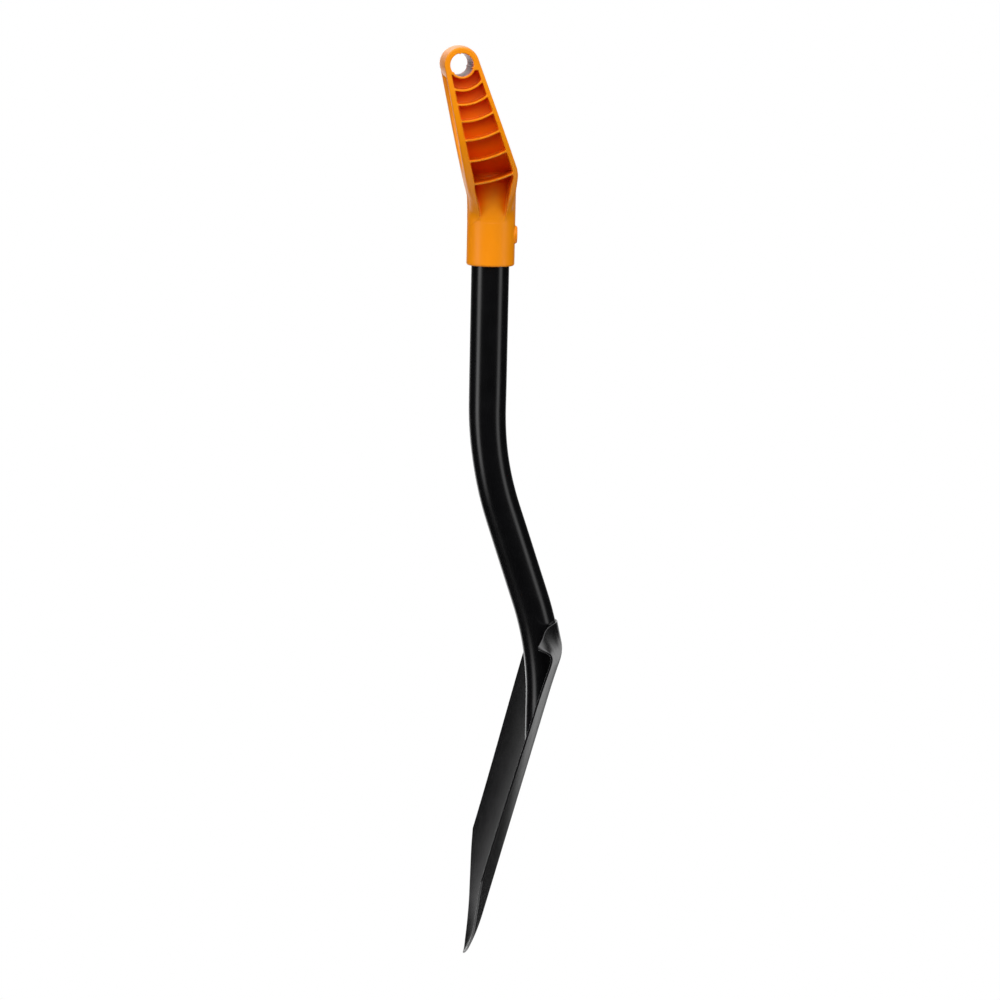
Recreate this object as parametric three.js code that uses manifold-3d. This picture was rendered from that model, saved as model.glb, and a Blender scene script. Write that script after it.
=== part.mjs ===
// Short-handled round-point spade: an orange moulded D-handle on an S-bent steel tube, which is welded
// into a pressed, dished blade with foot treads. All lengths are in millimetres.
//
// Frame: origin at the centre of the grip's bore. +X runs along the grip, +Z up along the upper shaft,
// and the scooping side of the blade faces -Y. The spade is mirror-symmetric about X = 0, and +X is
// the left of a person who digs with it.

import * as THREE from 'three';
import { mergeVertices } from 'three/addons/utils/BufferGeometryUtils.js';
import Module from 'manifold-3d';

const wasm = await Module();
wasm.setup();

// ---- Driving dimensions -------------------------------------------------------------------------

const GAP = 0.3; // air kept between pieces that touch

// Grip: a hollow cylinder along X
const GRIP_HALF_LENGTH = 67;
const GRIP_RADIUS = 14.6; // at its ends
const GRIP_CROWN = 1.4; // it is this much fatter in the middle
const BORE_RADIUS = 9.8;
const BORE_RIB_HEIGHT = 0.8;
const BORE_RIB_ANGLES = [100, 225, 347]; // degrees, seen from +X

// Shaft: one tube, bent twice
const SHAFT_SETBACK = 30.45; // the upper shaft's axis lies this far behind the grip's
const TUBE_RADIUS = 16.5;
const TUBE_WALL = 1.5;
const TUBE_TOP = -122;
const TUBE_RAW_BOTTOM = -632; // before the blade trims it
const UPPER_BEND_Z = -344.5; // where the tangents of the bend meet
const LOWER_BEND_Z = -511.5;
const UPPER_BEND_RADIUS = 300;
const LOWER_BEND_RADIUS = 285;
const SHAFT_OFFSET = 56.3; // the lower axis lies this far behind the upper one

// Socket of the D-handle
const SOCKET_RADIUS = 20.9;
const SOCKET_RIM = -172.5;
const SOCKET_TOP = -94; // its outer wall rises this far inside the arms
const SOCKET_FLOOR = -120; // the bottom of the hole for the tube
const SOCKET_CLEARANCE = 0.45; // between the tube and the hole
const SOCKET_BORE_RADIUS = TUBE_RADIUS + SOCKET_CLEARANCE;

// D-handle arms
const WEB = 3; // plate between the hand opening and the channels
const ARM_FRONT_SLOPE = 0.213; // how far the front edge moves back for each unit down
const ARM_BACK_SLOPE = 0.38;
const ARM_BACK_OUT = 0.6; // the back edges pass this far outside the grip's end radius
const ARM_SHOULDER_Y = 50; // corner where the arm's back edge turns down to the socket
const ARM_SHOULDER_Z = -90;
const ARM_SHOULDER_ROUND = 4;
const FRONT_FLANGE = 4.2; // wall in front of each channel at the grip
const FRONT_FLANGE_GROWTH = 0.022; // and its gain for each unit down
const BACK_FLANGE = 4;
const RIB_THICKNESS = 1.6;
const RIB_COUNT = 6;
const FIRST_RIB_RADIUS = 21.2; // the ribs are arcs round the grip's axis
const FIRST_RIB_PITCH = 12;
const RIB_PITCH_GROWTH = 2;
const POCKET_TOP_RADIUS = 11.4; // leaves a thin wall round the bore
const POCKET_SPLIT_Z = -99; // the channel narrows from here
const POCKET_TIP_Z = -135.5; // down to here
const POCKET_TIP_FRONT = 10.5; // half-widths of its tip, from the shaft's axis
const POCKET_TIP_BACK = 11;
const ARM_FOOT_Z = POCKET_TIP_Z - 4; // where the arms end in the socket

// Fixing screw at the back of the socket
const SCREW_Z = -145.5;
const BOSS_RADIUS = 7.6;
const BOSS_HEIGHT = 1.8;
const BOSS_ROOT = 12; // it starts this far behind the shaft's axis
const SCREW_HEAD_RADIUS = 4.2;
const SCREW_HEAD_HEIGHT = 2.4;
const SCREW_HEAD_RECESS = 1.1; // from the boss's face down to the head
const SCREW_SHANK_RADIUS = 2.2;
const SCREW_LENGTH = 12;
const SCREW_HOLE_RADIUS = SCREW_SHANK_RADIUS + 0.4;
const SCREW_POINT_LENGTH = 1.2;
const SCREW_HEAD_ROUND = 1.3;
const SCREW_DRIVE_RADIUS = 2;
const SCREW_DRIVE_DEPTH = 1.5;

// Blade: one pressed sheet
const SHEET = 1.6;
const BLADE_TILT = THREE.MathUtils.degToRad(15.07); // it leans towards the front going down
const BLADE_BEND_Y = 101.25; // back surface at the middle of the fold
const BLADE_BEND_Z = -513.7;
const BLADE_HALF_WIDTH = 84;
const SHOULDER_HALF_WIDTH = 100;
const SHOULDER_FLARE_START = 8; // distances below the fold
const SHOULDER_FLARE_END = 192;
const CORNER_S = 201.6; // the straight sides end here and the point starts
const DISH_SOFTNESS = 6; // rounds the dish along the centre line
const DISH_SLOPE = 0.177; // rise of the wings per unit of width
const DISH_CURVE = 0.00074; // and what they curve up beyond that
const FOLD_BULGE = 1.3; // the sheet stands this much further back at the fold
const FOLD_BULGE_END = 40;
const TIP_CURL_START = 248;
const TIP_CURL = 5.6;
const TIP_CURL_POWER = 2.5;
const TIP_S = 294;
const TREAD_TOP_Z = -487.4;
const TREAD_TOP_Y = 96.6;
const TREAD_END_DROP = 2.8;
const FOLD_END_RISE = 13; // the fold climbs this far towards the shoulders' ends
const FOLD_REACH = 8; // how far the fold's curve reaches to each side
const TREAD_END_ROUND = 1.5;
const TREAD_END_START = 0.94; // share of the half-width where that rounding starts
const BLADE_COLUMNS = 30; // facets across the sheet and down it
const BLADE_ROWS = 20;

// Half outline of the point: [half-width, distance below the fold]
const POINT_OUTLINE = [
  [0, TIP_S],
  [17.5, 283.2],
  [33.5, 269],
  [46, 254.8],
  [56.5, 241.8],
  [73.3, 219.3],
  [BLADE_HALF_WIDTH, CORNER_S],
];

// How far the tread's top edge lies in front of its middle: [half-width, distance]
const TREAD_PLAN = [
  [-8, 1.3],
  [0, 0],
  [8, 1.3],
  [16, 4.6],
  [31, 10.4],
  [48, 14.2],
  [69, 17.4],
  [88, 21.2],
  [SHOULDER_HALF_WIDTH, 24],
];

// Right half of the D in front view: [X, Z], outside from the grip to the socket
const ARM_OUTSIDE = [
  [GRIP_HALF_LENGTH, -25],
  [65.5, -45],
  [61.5, -65],
  [55, -82],
  [48, -95],
  [38.5, -108],
  [29, -120],
  [SOCKET_RADIUS, -134],
];

// Right half of the hand opening in front view: [X, Z], from the middle of its floor up past the grip,
// whose skin is added afterwards
const OPENING_HALF_WIDTH = 51;
const OPENING_FLOOR_Z = -91.5;
const OPENING_ARCH_Z = -35; // below this its outline is an arch
const OPENING_TOP_Z = 20;
const HAND_OPENING = [
  [0, OPENING_FLOOR_Z],
  [17, -88.5],
  [31, -80],
  [41.5, -68],
  [47.5, -54],
  [50.5, OPENING_ARCH_Z],
  [OPENING_HALF_WIDTH, OPENING_TOP_Z],
];

// Weld beads
const BEAD_RADIUS = 3.2;
const BEAD_SINK = 0.8; // its centre stands this far out of both faces
const BEAD_END_ANGLE = 122; // degrees round the tube from its front
const TOP_BEAD_RADIUS = 2;
const TOP_BEAD_ANGLES = [128, 150];

// ---- Materials ----------------------------------------------------------------------------------

const orangePlastic = new THREE.MeshStandardMaterial({ color: 0xf08f08, roughness: 0.45, metalness: 0 });
const blackPaint = new THREE.MeshStandardMaterial({ color: 0x0c0d10, roughness: 0.35, metalness: 0.2 });
const weldPaint = new THREE.MeshStandardMaterial({ color: 0x101114, roughness: 0.5, metalness: 0.2 });
const zincSteel = new THREE.MeshStandardMaterial({ color: 0x9a9da2, roughness: 0.35, metalness: 0.9 });

// ---- Solids -------------------------------------------------------------------------------------

// A closed geometry as a solid that can be cut and joined.
function toSolid(geometry) {
  const bare = geometry.clone();
  bare.deleteAttribute('normal');
  bare.deleteAttribute('uv');
  const merged = mergeVertices(bare, 1e-4);
  return new wasm.Manifold(new wasm.Mesh({
    numProp: 3,
    vertProperties: new Float32Array(merged.attributes.position.array),
    triVerts: new Uint32Array(merged.index.array),
  }));
}

// A solid as a flat-shaded geometry.
function toGeometry(solid) {
  const mesh = solid.getMesh();
  const geometry = new THREE.BufferGeometry();
  geometry.setAttribute('position', new THREE.BufferAttribute(mesh.vertProperties, 3));
  geometry.setIndex(new THREE.BufferAttribute(mesh.triVerts, 1));
  const flat = geometry.toNonIndexed();
  flat.computeVertexNormals();
  return flat;
}

function namedMesh(name, geometry, material) {
  const mesh = new THREE.Mesh(geometry, material);
  mesh.name = name;
  return mesh;
}

function extrude(shape, depth, curveSegments = 12) {
  return new THREE.ExtrudeGeometry(shape, { depth, bevelEnabled: false, curveSegments });
}

// A shape drawn in (Y, Z), extruded along X from x0 to x1.
function alongX(shape, x0, x1, curveSegments) {
  const turn = new THREE.Matrix4().makeBasis(
    new THREE.Vector3(0, 1, 0),
    new THREE.Vector3(0, 0, 1),
    new THREE.Vector3(1, 0, 0),
  );
  return toSolid(extrude(shape, x1 - x0, curveSegments).applyMatrix4(turn).translate(x0, 0, 0));
}

// A shape drawn in (X, Z), extruded along Y from y0 to y1.
function alongY(shape, y0, y1, curveSegments) {
  const geometry = extrude(shape, y1 - y0, curveSegments).rotateX(Math.PI / 2);
  return toSolid(geometry.translate(0, y1, 0));
}

// A round bar along Z from z0 to z1, with its axis at y.
function barZ(radius, z0, z1, y, sides = 40) {
  const geometry = new THREE.CylinderGeometry(radius, radius, z1 - z0, sides).rotateX(Math.PI / 2);
  return toSolid(geometry.translate(0, y, (z0 + z1) / 2));
}

// A round bar along Y from y0 to y1, with its axis at z.
function barY(radius, y0, y1, z, sides = 24) {
  const geometry = new THREE.CylinderGeometry(radius, radius, y1 - y0, sides);
  return toSolid(geometry.translate(0, (y0 + y1) / 2, z));
}

// A round bar along X, centred on the grip's axis.
function barX(radius, halfLength, sides = 40) {
  const geometry = new THREE.CylinderGeometry(radius, radius, 2 * halfLength, sides);
  return toSolid(geometry.rotateZ(Math.PI / 2));
}

const vectors2 = (points) => points.map(([x, y]) => new THREE.Vector2(x, y));
const mirrored = (points) => points.map(([x, y]) => [-x, y]).reverse();

// ---- D-handle -----------------------------------------------------------------------------------

// Front and back edges of the arms, lines tangent to the grip; inset moves them into the arm.
function armFrontY(z, inset = 0) {
  return -(GRIP_RADIUS - inset) * Math.hypot(1, ARM_FRONT_SLOPE) - ARM_FRONT_SLOPE * z;
}

function armBackY(z, inset = 0) {
  return (GRIP_RADIUS + ARM_BACK_OUT - inset) * Math.hypot(1, ARM_BACK_SLOPE) - ARM_BACK_SLOPE * z;
}

// Front edge of the channel inside the arm.
function channelFrontY(z) {
  return armFrontY(z, FRONT_FLANGE - FRONT_FLANGE_GROWTH * z);
}

// Side view of the arms, filled: round the grip, then widening down to the socket.
function armSideShape() {
  const frontFoot = SHAFT_SETBACK - SOCKET_RADIUS;
  const frontFootZ = -(frontFoot + GRIP_RADIUS * Math.hypot(1, ARM_FRONT_SLOPE)) / ARM_FRONT_SLOPE;
  const backTurnZ = ARM_SHOULDER_Z + ARM_SHOULDER_ROUND;
  const shape = new THREE.Shape();
  shape.moveTo(frontFoot, ARM_FOOT_Z);
  shape.lineTo(ARM_SHOULDER_Y, ARM_FOOT_Z);
  shape.lineTo(ARM_SHOULDER_Y, ARM_SHOULDER_Z - ARM_SHOULDER_ROUND);
  shape.quadraticCurveTo(ARM_SHOULDER_Y, ARM_SHOULDER_Z, armBackY(backTurnZ), backTurnZ);
  shape.lineTo(armBackY(-5), -5);
  shape.absarc(0, 0, GRIP_RADIUS, Math.atan(ARM_BACK_SLOPE), Math.PI, false);
  shape.lineTo(armFrontY(-4), -4);
  shape.lineTo(frontFoot, frontFootZ);
  return shape;
}

// Side view of one channel, from the grip down to the tip between its closing edges.
function channelSideShape() {
  const tipFront = SHAFT_SETBACK - POCKET_TIP_FRONT;
  const tipBack = SHAFT_SETBACK + POCKET_TIP_BACK;
  const cornerY = ARM_SHOULDER_Y - BACK_FLANGE;
  const frontTurnZ = (POCKET_SPLIT_Z + POCKET_TIP_Z) / 2 - 2;
  const shape = new THREE.Shape();
  shape.moveTo(tipFront, POCKET_TIP_Z);
  shape.lineTo(tipBack, POCKET_TIP_Z);
  shape.quadraticCurveTo(cornerY, POCKET_SPLIT_Z - 8, cornerY, ARM_SHOULDER_Z);
  shape.lineTo(armBackY(-4, BACK_FLANGE), -4);
  shape.lineTo(channelFrontY(-4), -4);
  shape.lineTo(channelFrontY(POCKET_SPLIT_Z), POCKET_SPLIT_Z);
  shape.quadraticCurveTo(tipFront - 1, frontTurnZ, tipFront, POCKET_TIP_Z);
  return shape;
}

// Front view of the whole D, filled.
function armFrontShape() {
  const shape = new THREE.Shape();
  shape.moveTo(GRIP_HALF_LENGTH, GRIP_RADIUS + 1);
  shape.lineTo(...ARM_OUTSIDE[0]);
  shape.splineThru(vectors2(ARM_OUTSIDE.slice(1)));
  shape.lineTo(SOCKET_RADIUS, ARM_FOOT_Z);
  shape.lineTo(-SOCKET_RADIUS, ARM_FOOT_Z);
  shape.lineTo(-SOCKET_RADIUS, ARM_FOOT_Z + 5);
  shape.splineThru(vectors2(mirrored(ARM_OUTSIDE).slice(1)));
  shape.lineTo(-GRIP_HALF_LENGTH, GRIP_RADIUS + 1);
  return shape;
}

// Front view of the hand opening, grown outwards by a margin.
function handOpeningShape(margin) {
  const grow = ([x, z]) => {
    const out = new THREE.Vector2(
      x / OPENING_HALF_WIDTH,
      (z - OPENING_ARCH_Z) / (OPENING_ARCH_Z - OPENING_FLOOR_Z),
    ).normalize();
    return z < OPENING_ARCH_Z ? [x + margin * out.x, z + margin * out.y] : [x + margin, z];
  };
  const right = HAND_OPENING.map(grow);
  const left = mirrored(right);
  const shape = new THREE.Shape();
  shape.moveTo(...right[0]);
  shape.splineThru(vectors2(right.slice(1)));
  shape.lineTo(left[0][0], left[0][1]);
  shape.splineThru(vectors2(left.slice(1)));
  return shape;
}

function ribRadius(index) {
  return FIRST_RIB_RADIUS + index * FIRST_RIB_PITCH + (index * (index - 1) * RIB_PITCH_GROWTH) / 2;
}

// The space of the open channels of one side, with the ribs left standing between them.
function channelSpace(side) {
  const outer = GRIP_HALF_LENGTH + 5;
  const [x0, x1] = side > 0 ? [0, outer] : [-outer, 0];
  const core = alongY(handOpeningShape(WEB), -40, 90, 8)
    .add(barZ(SOCKET_RADIUS, POCKET_TIP_Z - 8, SOCKET_TOP, SHAFT_SETBACK));
  let space = alongX(channelSideShape(), x0, x1, 8).subtract(core).subtract(barX(POCKET_TOP_RADIUS, outer + 1));
  for (let index = 0; index < RIB_COUNT; index += 1) {
    const ring = new THREE.Shape();
    ring.absarc(0, 0, ribRadius(index) + RIB_THICKNESS / 2, 0, 2 * Math.PI, false);
    const hole = new THREE.Path();
    hole.absarc(0, 0, ribRadius(index) - RIB_THICKNESS / 2, 0, 2 * Math.PI, true);
    ring.holes.push(hole);
    space = space.subtract(alongX(ring, x0 - 1, x1 + 1, 40));
  }
  return space;
}

// The grip's outer skin, slightly crowned, without its bore.
function gripSkin() {
  const profile = [[0, -GRIP_HALF_LENGTH]];
  const stops = 8;
  for (let i = 0; i <= stops; i += 1) {
    const along = THREE.MathUtils.lerp(-1, 1, i / stops);
    profile.push([GRIP_RADIUS + GRIP_CROWN * (1 - along * along), along * GRIP_HALF_LENGTH]);
  }
  profile.push([0, GRIP_HALF_LENGTH]);
  return toSolid(new THREE.LatheGeometry(vectors2(profile), 40).rotateZ(Math.PI / 2));
}

// Three low ribs that run along the bore.
function boreRibs() {
  const ribs = BORE_RIB_ANGLES.map((degrees) => {
    const angle = THREE.MathUtils.degToRad(degrees);
    const geometry = new THREE.CylinderGeometry(1, 1, 2 * GRIP_HALF_LENGTH, 8).rotateZ(Math.PI / 2);
    const reach = BORE_RADIUS + 1 - BORE_RIB_HEIGHT;
    return toSolid(geometry.translate(0, reach * Math.cos(angle), reach * Math.sin(angle)));
  });
  return ribs.reduce((all, rib) => all.add(rib));
}

function handleSolid() {
  const everyWidth = GRIP_HALF_LENGTH + 2;
  const arms = alongX(armSideShape(), -everyWidth, everyWidth, 20)
    .intersect(alongY(armFrontShape(), -40, 90, 5))
    .subtract(alongY(handOpeningShape(0), -41, 91, 8))
    .subtract(channelSpace(1))
    .subtract(channelSpace(-1));
  const bossFace = SHAFT_SETBACK + SOCKET_RADIUS + BOSS_HEIGHT;
  const headSeat = bossFace - SCREW_HEAD_RECESS - SCREW_HEAD_HEIGHT - GAP;
  return arms
    .add(gripSkin())
    .add(barZ(SOCKET_RADIUS, SOCKET_RIM, SOCKET_TOP, SHAFT_SETBACK))
    .add(barY(BOSS_RADIUS, SHAFT_SETBACK + BOSS_ROOT, bossFace, SCREW_Z))
    .subtract(barX(BORE_RADIUS, GRIP_HALF_LENGTH + 1))
    .add(boreRibs())
    .subtract(barZ(SOCKET_BORE_RADIUS, SOCKET_RIM - 1, SOCKET_FLOOR, SHAFT_SETBACK))
    .subtract(barY(SCREW_HEAD_RADIUS + 0.5, headSeat, bossFace + 1, SCREW_Z))
    .subtract(barY(SCREW_HOLE_RADIUS, SHAFT_SETBACK, bossFace, SCREW_Z));
}

// ---- Fixing screw -------------------------------------------------------------------------------

function handleScrew() {
  const headTop = SHAFT_SETBACK + SOCKET_RADIUS + BOSS_HEIGHT - SCREW_HEAD_RECESS;
  const seat = headTop - SCREW_HEAD_HEIGHT;
  const tip = seat - SCREW_LENGTH;
  const profile = [
    [0, tip],
    [SCREW_SHANK_RADIUS / 2, tip],
    [SCREW_SHANK_RADIUS, tip + SCREW_POINT_LENGTH],
    [SCREW_SHANK_RADIUS, seat],
    [SCREW_HEAD_RADIUS, seat],
    [SCREW_HEAD_RADIUS, headTop - SCREW_HEAD_ROUND],
    [SCREW_HEAD_RADIUS - SCREW_HEAD_ROUND, headTop],
    [0, headTop],
  ];
  const body = toSolid(new THREE.LatheGeometry(vectors2(profile), 24).translate(0, 0, SCREW_Z));
  const drive = barY(SCREW_DRIVE_RADIUS, headTop - SCREW_DRIVE_DEPTH, headTop + 1, SCREW_Z, 6);
  return toGeometry(body.subtract(drive));
}

// ---- Shaft --------------------------------------------------------------------------------------

// The tube's axis in the YZ plane: three straights joined by two arcs.
class ShaftAxis extends THREE.Curve {
  constructor() {
    super();
    const angle = Math.atan2(SHAFT_OFFSET, UPPER_BEND_Z - LOWER_BEND_Z);
    const lowerY = SHAFT_SETBACK + SHAFT_OFFSET;
    const upperTangent = UPPER_BEND_RADIUS * Math.tan(angle / 2);
    const lowerTangent = LOWER_BEND_RADIUS * Math.tan(angle / 2);
    this.path = new THREE.Path();
    this.path.moveTo(SHAFT_SETBACK, TUBE_TOP);
    this.path.lineTo(SHAFT_SETBACK, UPPER_BEND_Z + upperTangent);
    this.path.absarc(
      SHAFT_SETBACK + UPPER_BEND_RADIUS,
      UPPER_BEND_Z + upperTangent,
      UPPER_BEND_RADIUS,
      Math.PI,
      Math.PI + angle,
      false,
    );
    const centreY = lowerY - LOWER_BEND_RADIUS;
    this.path.absarc(centreY, LOWER_BEND_Z - lowerTangent, LOWER_BEND_RADIUS, angle, 0, true);
    this.path.lineTo(lowerY, TUBE_RAW_BOTTOM);
  }

  getPoint(t, target = new THREE.Vector3()) {
    const point = this.path.getPointAt(t);
    return target.set(0, point.x, point.y);
  }
}

const shaftAxis = new ShaftAxis();

// Where the axis stands in Y at the height z.
function axisYAt(z) {
  let low = 0;
  let high = 1;
  for (let step = 0; step < 30; step += 1) {
    const middle = (low + high) / 2;
    if (shaftAxis.getPoint(middle).z > z) low = middle;
    else high = middle;
  }
  return shaftAxis.getPoint(low).y;
}

// A round section swept along the shaft's axis, hollow where a hole radius is given.
function sweptShaft(radius, holeRadius) {
  const section = new THREE.Shape();
  section.absarc(0, 0, radius, 0, 2 * Math.PI, false);
  if (holeRadius) {
    const hollow = new THREE.Path();
    hollow.absarc(0, 0, holeRadius, 0, 2 * Math.PI, true);
    section.holes.push(hollow);
  }
  const sweep = { steps: 32, extrudePath: shaftAxis, bevelEnabled: false, curveSegments: 14 };
  return toSolid(new THREE.ExtrudeGeometry(section, sweep));
}

function shaftTube() {
  const screwHole = barY(SCREW_HOLE_RADIUS, SHAFT_SETBACK, SHAFT_SETBACK + SOCKET_RADIUS, SCREW_Z);
  const tube = sweptShaft(TUBE_RADIUS, TUBE_RADIUS - TUBE_WALL);
  return toGeometry(tube.subtract(screwHole).subtract(behindBlade()));
}

// ---- Blade --------------------------------------------------------------------------------------

// Reads a smooth curve through [x, value] points at x.
function readCurve(points, x) {
  const curve = new THREE.SplineCurve(vectors2(points));
  let low = 0;
  let high = 1;
  for (let step = 0; step < 24; step += 1) {
    const middle = (low + high) / 2;
    if (curve.getPoint(middle).x < x) low = middle;
    else high = middle;
  }
  return curve.getPoint((low + high) / 2).y;
}

function halfWidth(s) {
  const narrowing = THREE.MathUtils.smoothstep(s, SHOULDER_FLARE_START, SHOULDER_FLARE_END);
  return THREE.MathUtils.lerp(SHOULDER_HALF_WIDTH, BLADE_HALF_WIDTH, narrowing);
}

// Depth of the dish at the fraction u of the half-width, from 0 on the centre line.
function dishDepth(u) {
  const x = Math.abs(u) * BLADE_HALF_WIDTH;
  return DISH_SLOPE * (Math.hypot(x, DISH_SOFTNESS) - DISH_SOFTNESS) + DISH_CURVE * x * x;
}

// How far the back surface stands in front of the plane of the blade, u across it and s down it.
function backDepth(u, s) {
  const curl = Math.max(0, s - TIP_CURL_START) / (TIP_S - TIP_CURL_START);
  const bulge = Math.max(0, 1 - Math.max(0, s) / FOLD_BULGE_END);
  return dishDepth(u) + TIP_CURL * curl ** TIP_CURL_POWER - FOLD_BULGE * bulge ** 2;
}

// Back surface of the sheet below the fold, s down the blade and u across it.
function bladePoint(u, s) {
  const n = backDepth(u, s);
  return new THREE.Vector3(
    u * halfWidth(s),
    BLADE_BEND_Y - s * Math.sin(BLADE_TILT) - n * Math.cos(BLADE_TILT),
    BLADE_BEND_Z - s * Math.cos(BLADE_TILT) + n * Math.sin(BLADE_TILT),
  );
}

// Top edge of the sheet, which is folded forward as a tread.
function treadEdge(u) {
  const x = Math.abs(u) * SHOULDER_HALF_WIDTH;
  const beyond = Math.max(0, Math.abs(u) - TREAD_END_START) / (1 - TREAD_END_START);
  const inset = TREAD_END_ROUND * beyond ** 2;
  return new THREE.Vector3(
    u * SHOULDER_HALF_WIDTH,
    TREAD_TOP_Y - readCurve(TREAD_PLAN, x) + inset,
    TREAD_TOP_Z - TREAD_END_DROP * u * u - inset,
  );
}

// One line of the back surface from the tread's edge down to the point, at u across the blade.
function bladeLine(u, treadRows, foldRows, bladeRows) {
  const foldS = -FOLD_END_RISE * u * u;
  const corner = bladePoint(u, foldS);
  const edge = treadEdge(u);
  const reach = Math.min(1, FOLD_REACH / corner.distanceTo(edge));
  const foldTop = corner.clone().lerp(edge, reach);
  const bladeTop = foldS + FOLD_REACH;
  const fold = new THREE.QuadraticBezierCurve3(foldTop, corner, bladePoint(u, bladeTop));
  const bottom = readCurve(POINT_OUTLINE, Math.abs(u) * BLADE_HALF_WIDTH);
  const line = [];
  for (let i = 0; i < treadRows; i += 1) line.push(edge.clone().lerp(foldTop, i / treadRows));
  for (let i = 0; i < foldRows; i += 1) line.push(fold.getPoint(i / foldRows));
  for (let i = 0; i <= bladeRows; i += 1) {
    line.push(bladePoint(u, THREE.MathUtils.lerp(bladeTop, bottom, i / bladeRows)));
  }
  return line;
}

// The back surface as a grid of points, with its unit normals towards the front.
function bladeGrid(uMax, columns, bladeRows) {
  const back = [];
  for (let j = 0; j <= columns; j += 1) {
    back.push(bladeLine(THREE.MathUtils.lerp(-uMax, uMax, j / columns), 4, 4, bladeRows));
  }
  const clampAt = (list, i) => list[Math.min(Math.max(i, 0), list.length - 1)];
  const normals = back.map((line, j) => line.map((_, i) => {
    const across = clampAt(back, j + 1)[i].clone().sub(clampAt(back, j - 1)[i]);
    const down = clampAt(line, i + 1).clone().sub(clampAt(line, i - 1));
    return down.cross(across).normalize();
  }));
  return { back, normals };
}

// A closed solid between two grids of points, the first behind the second.
function solidBetween(back, front) {
  const columns = back.length;
  const rows = back[0].length;
  const positions = [...back, ...front].flat().flatMap((p) => [p.x, p.y, p.z]);
  const at = (layer, j, i) => layer * columns * rows + j * rows + i;
  const index = [];
  const quad = (a, b, c, d) => index.push(a, c, b, a, d, c);
  for (let j = 0; j + 1 < columns; j += 1) {
    for (let i = 0; i + 1 < rows; i += 1) {
      quad(at(0, j, i), at(0, j, i + 1), at(0, j + 1, i + 1), at(0, j + 1, i));
      quad(at(1, j, i), at(1, j + 1, i), at(1, j + 1, i + 1), at(1, j, i + 1));
    }
    quad(at(0, j, 0), at(0, j + 1, 0), at(1, j + 1, 0), at(1, j, 0));
    quad(at(0, j, rows - 1), at(1, j, rows - 1), at(1, j + 1, rows - 1), at(0, j + 1, rows - 1));
  }
  for (let i = 0; i + 1 < rows; i += 1) {
    quad(at(0, 0, i), at(1, 0, i), at(1, 0, i + 1), at(0, 0, i + 1));
    quad(at(0, columns - 1, i), at(0, columns - 1, i + 1), at(1, columns - 1, i + 1), at(1, columns - 1, i));
  }
  const geometry = new THREE.BufferGeometry();
  geometry.setAttribute('position', new THREE.Float32BufferAttribute(positions, 3));
  geometry.setIndex(index);
  return geometry;
}

function offsetGrid({ back, normals }, distance) {
  return back.map((line, j) => line.map((point, i) => point.clone().addScaledVector(normals[j][i], distance)));
}

function blade() {
  const grid = bladeGrid(1, BLADE_COLUMNS, BLADE_ROWS);
  return toGeometry(toSolid(solidBetween(grid.back, offsetGrid(grid, SHEET))));
}

// Everything behind the middle of the sheet's front surface, which trims the tube's lower end.
function behindBlade() {
  const share = 0.4;
  const grid = bladeGrid(share, share * BLADE_COLUMNS, BLADE_ROWS);
  const front = offsetGrid(grid, SHEET + GAP);
  const overTop = 3;
  front.forEach((line) => line[0].addScaledVector(line[0].clone().sub(line[1]).normalize(), overTop));
  const farBack = front.map((line) => line.map((point) => new THREE.Vector3(point.x, 150, point.z)));
  return toSolid(solidBetween(farBack, front));
}

// ---- Welds --------------------------------------------------------------------------------------

// A round bead along a corner, cut back to what stands outside the tube and the blade.
function cornerBead(points, radius) {
  const section = new THREE.Shape();
  section.absarc(0, 0, radius, 0, 2 * Math.PI, false);
  const path = new THREE.CatmullRomCurve3(points);
  const options = { steps: 2 * points.length, extrudePath: path, bevelEnabled: false, curveSegments: 6 };
  const bead = toSolid(new THREE.ExtrudeGeometry(section, options));
  return bead.subtract(sweptShaft(TUBE_RADIUS + GAP)).subtract(behindBlade());
}

// The point at an angle round the tube, out from its surface, at the height z.
function besideTube(degrees, out, z) {
  const angle = THREE.MathUtils.degToRad(degrees);
  const reach = TUBE_RADIUS + out;
  return new THREE.Vector3(reach * Math.sin(angle), axisYAt(z) - reach * Math.cos(angle), z);
}

// How far a point stands in front of the blade's front surface.
function frontOfBlade(point) {
  const y = point.y - BLADE_BEND_Y;
  const z = point.z - BLADE_BEND_Z;
  const s = -y * Math.sin(BLADE_TILT) - z * Math.cos(BLADE_TILT);
  const n = z * Math.sin(BLADE_TILT) - y * Math.cos(BLADE_TILT);
  return n - backDepth(point.x / halfWidth(s), s) - SHEET;
}

// The corner between the tube and the blade, at an angle round the tube.
function cornerPoint(degrees, out) {
  let low = BLADE_BEND_Z - 140;
  let high = BLADE_BEND_Z;
  for (let step = 0; step < 30; step += 1) {
    const middle = (low + high) / 2;
    if (frontOfBlade(besideTube(degrees, out, middle)) < out) low = middle;
    else high = middle;
  }
  return besideTube(degrees, out, low);
}

// Runs from the back of the tube on one side, under its cut end, to the back on the other side.
function weldBead() {
  const points = [];
  const stops = 18;
  for (let i = 0; i <= stops; i += 1) {
    const degrees = THREE.MathUtils.lerp(-BEAD_END_ANGLE, BEAD_END_ANGLE, i / stops);
    points.push(cornerPoint(degrees, BEAD_SINK));
  }
  return toGeometry(cornerBead(points, BEAD_RADIUS));
}

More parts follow.
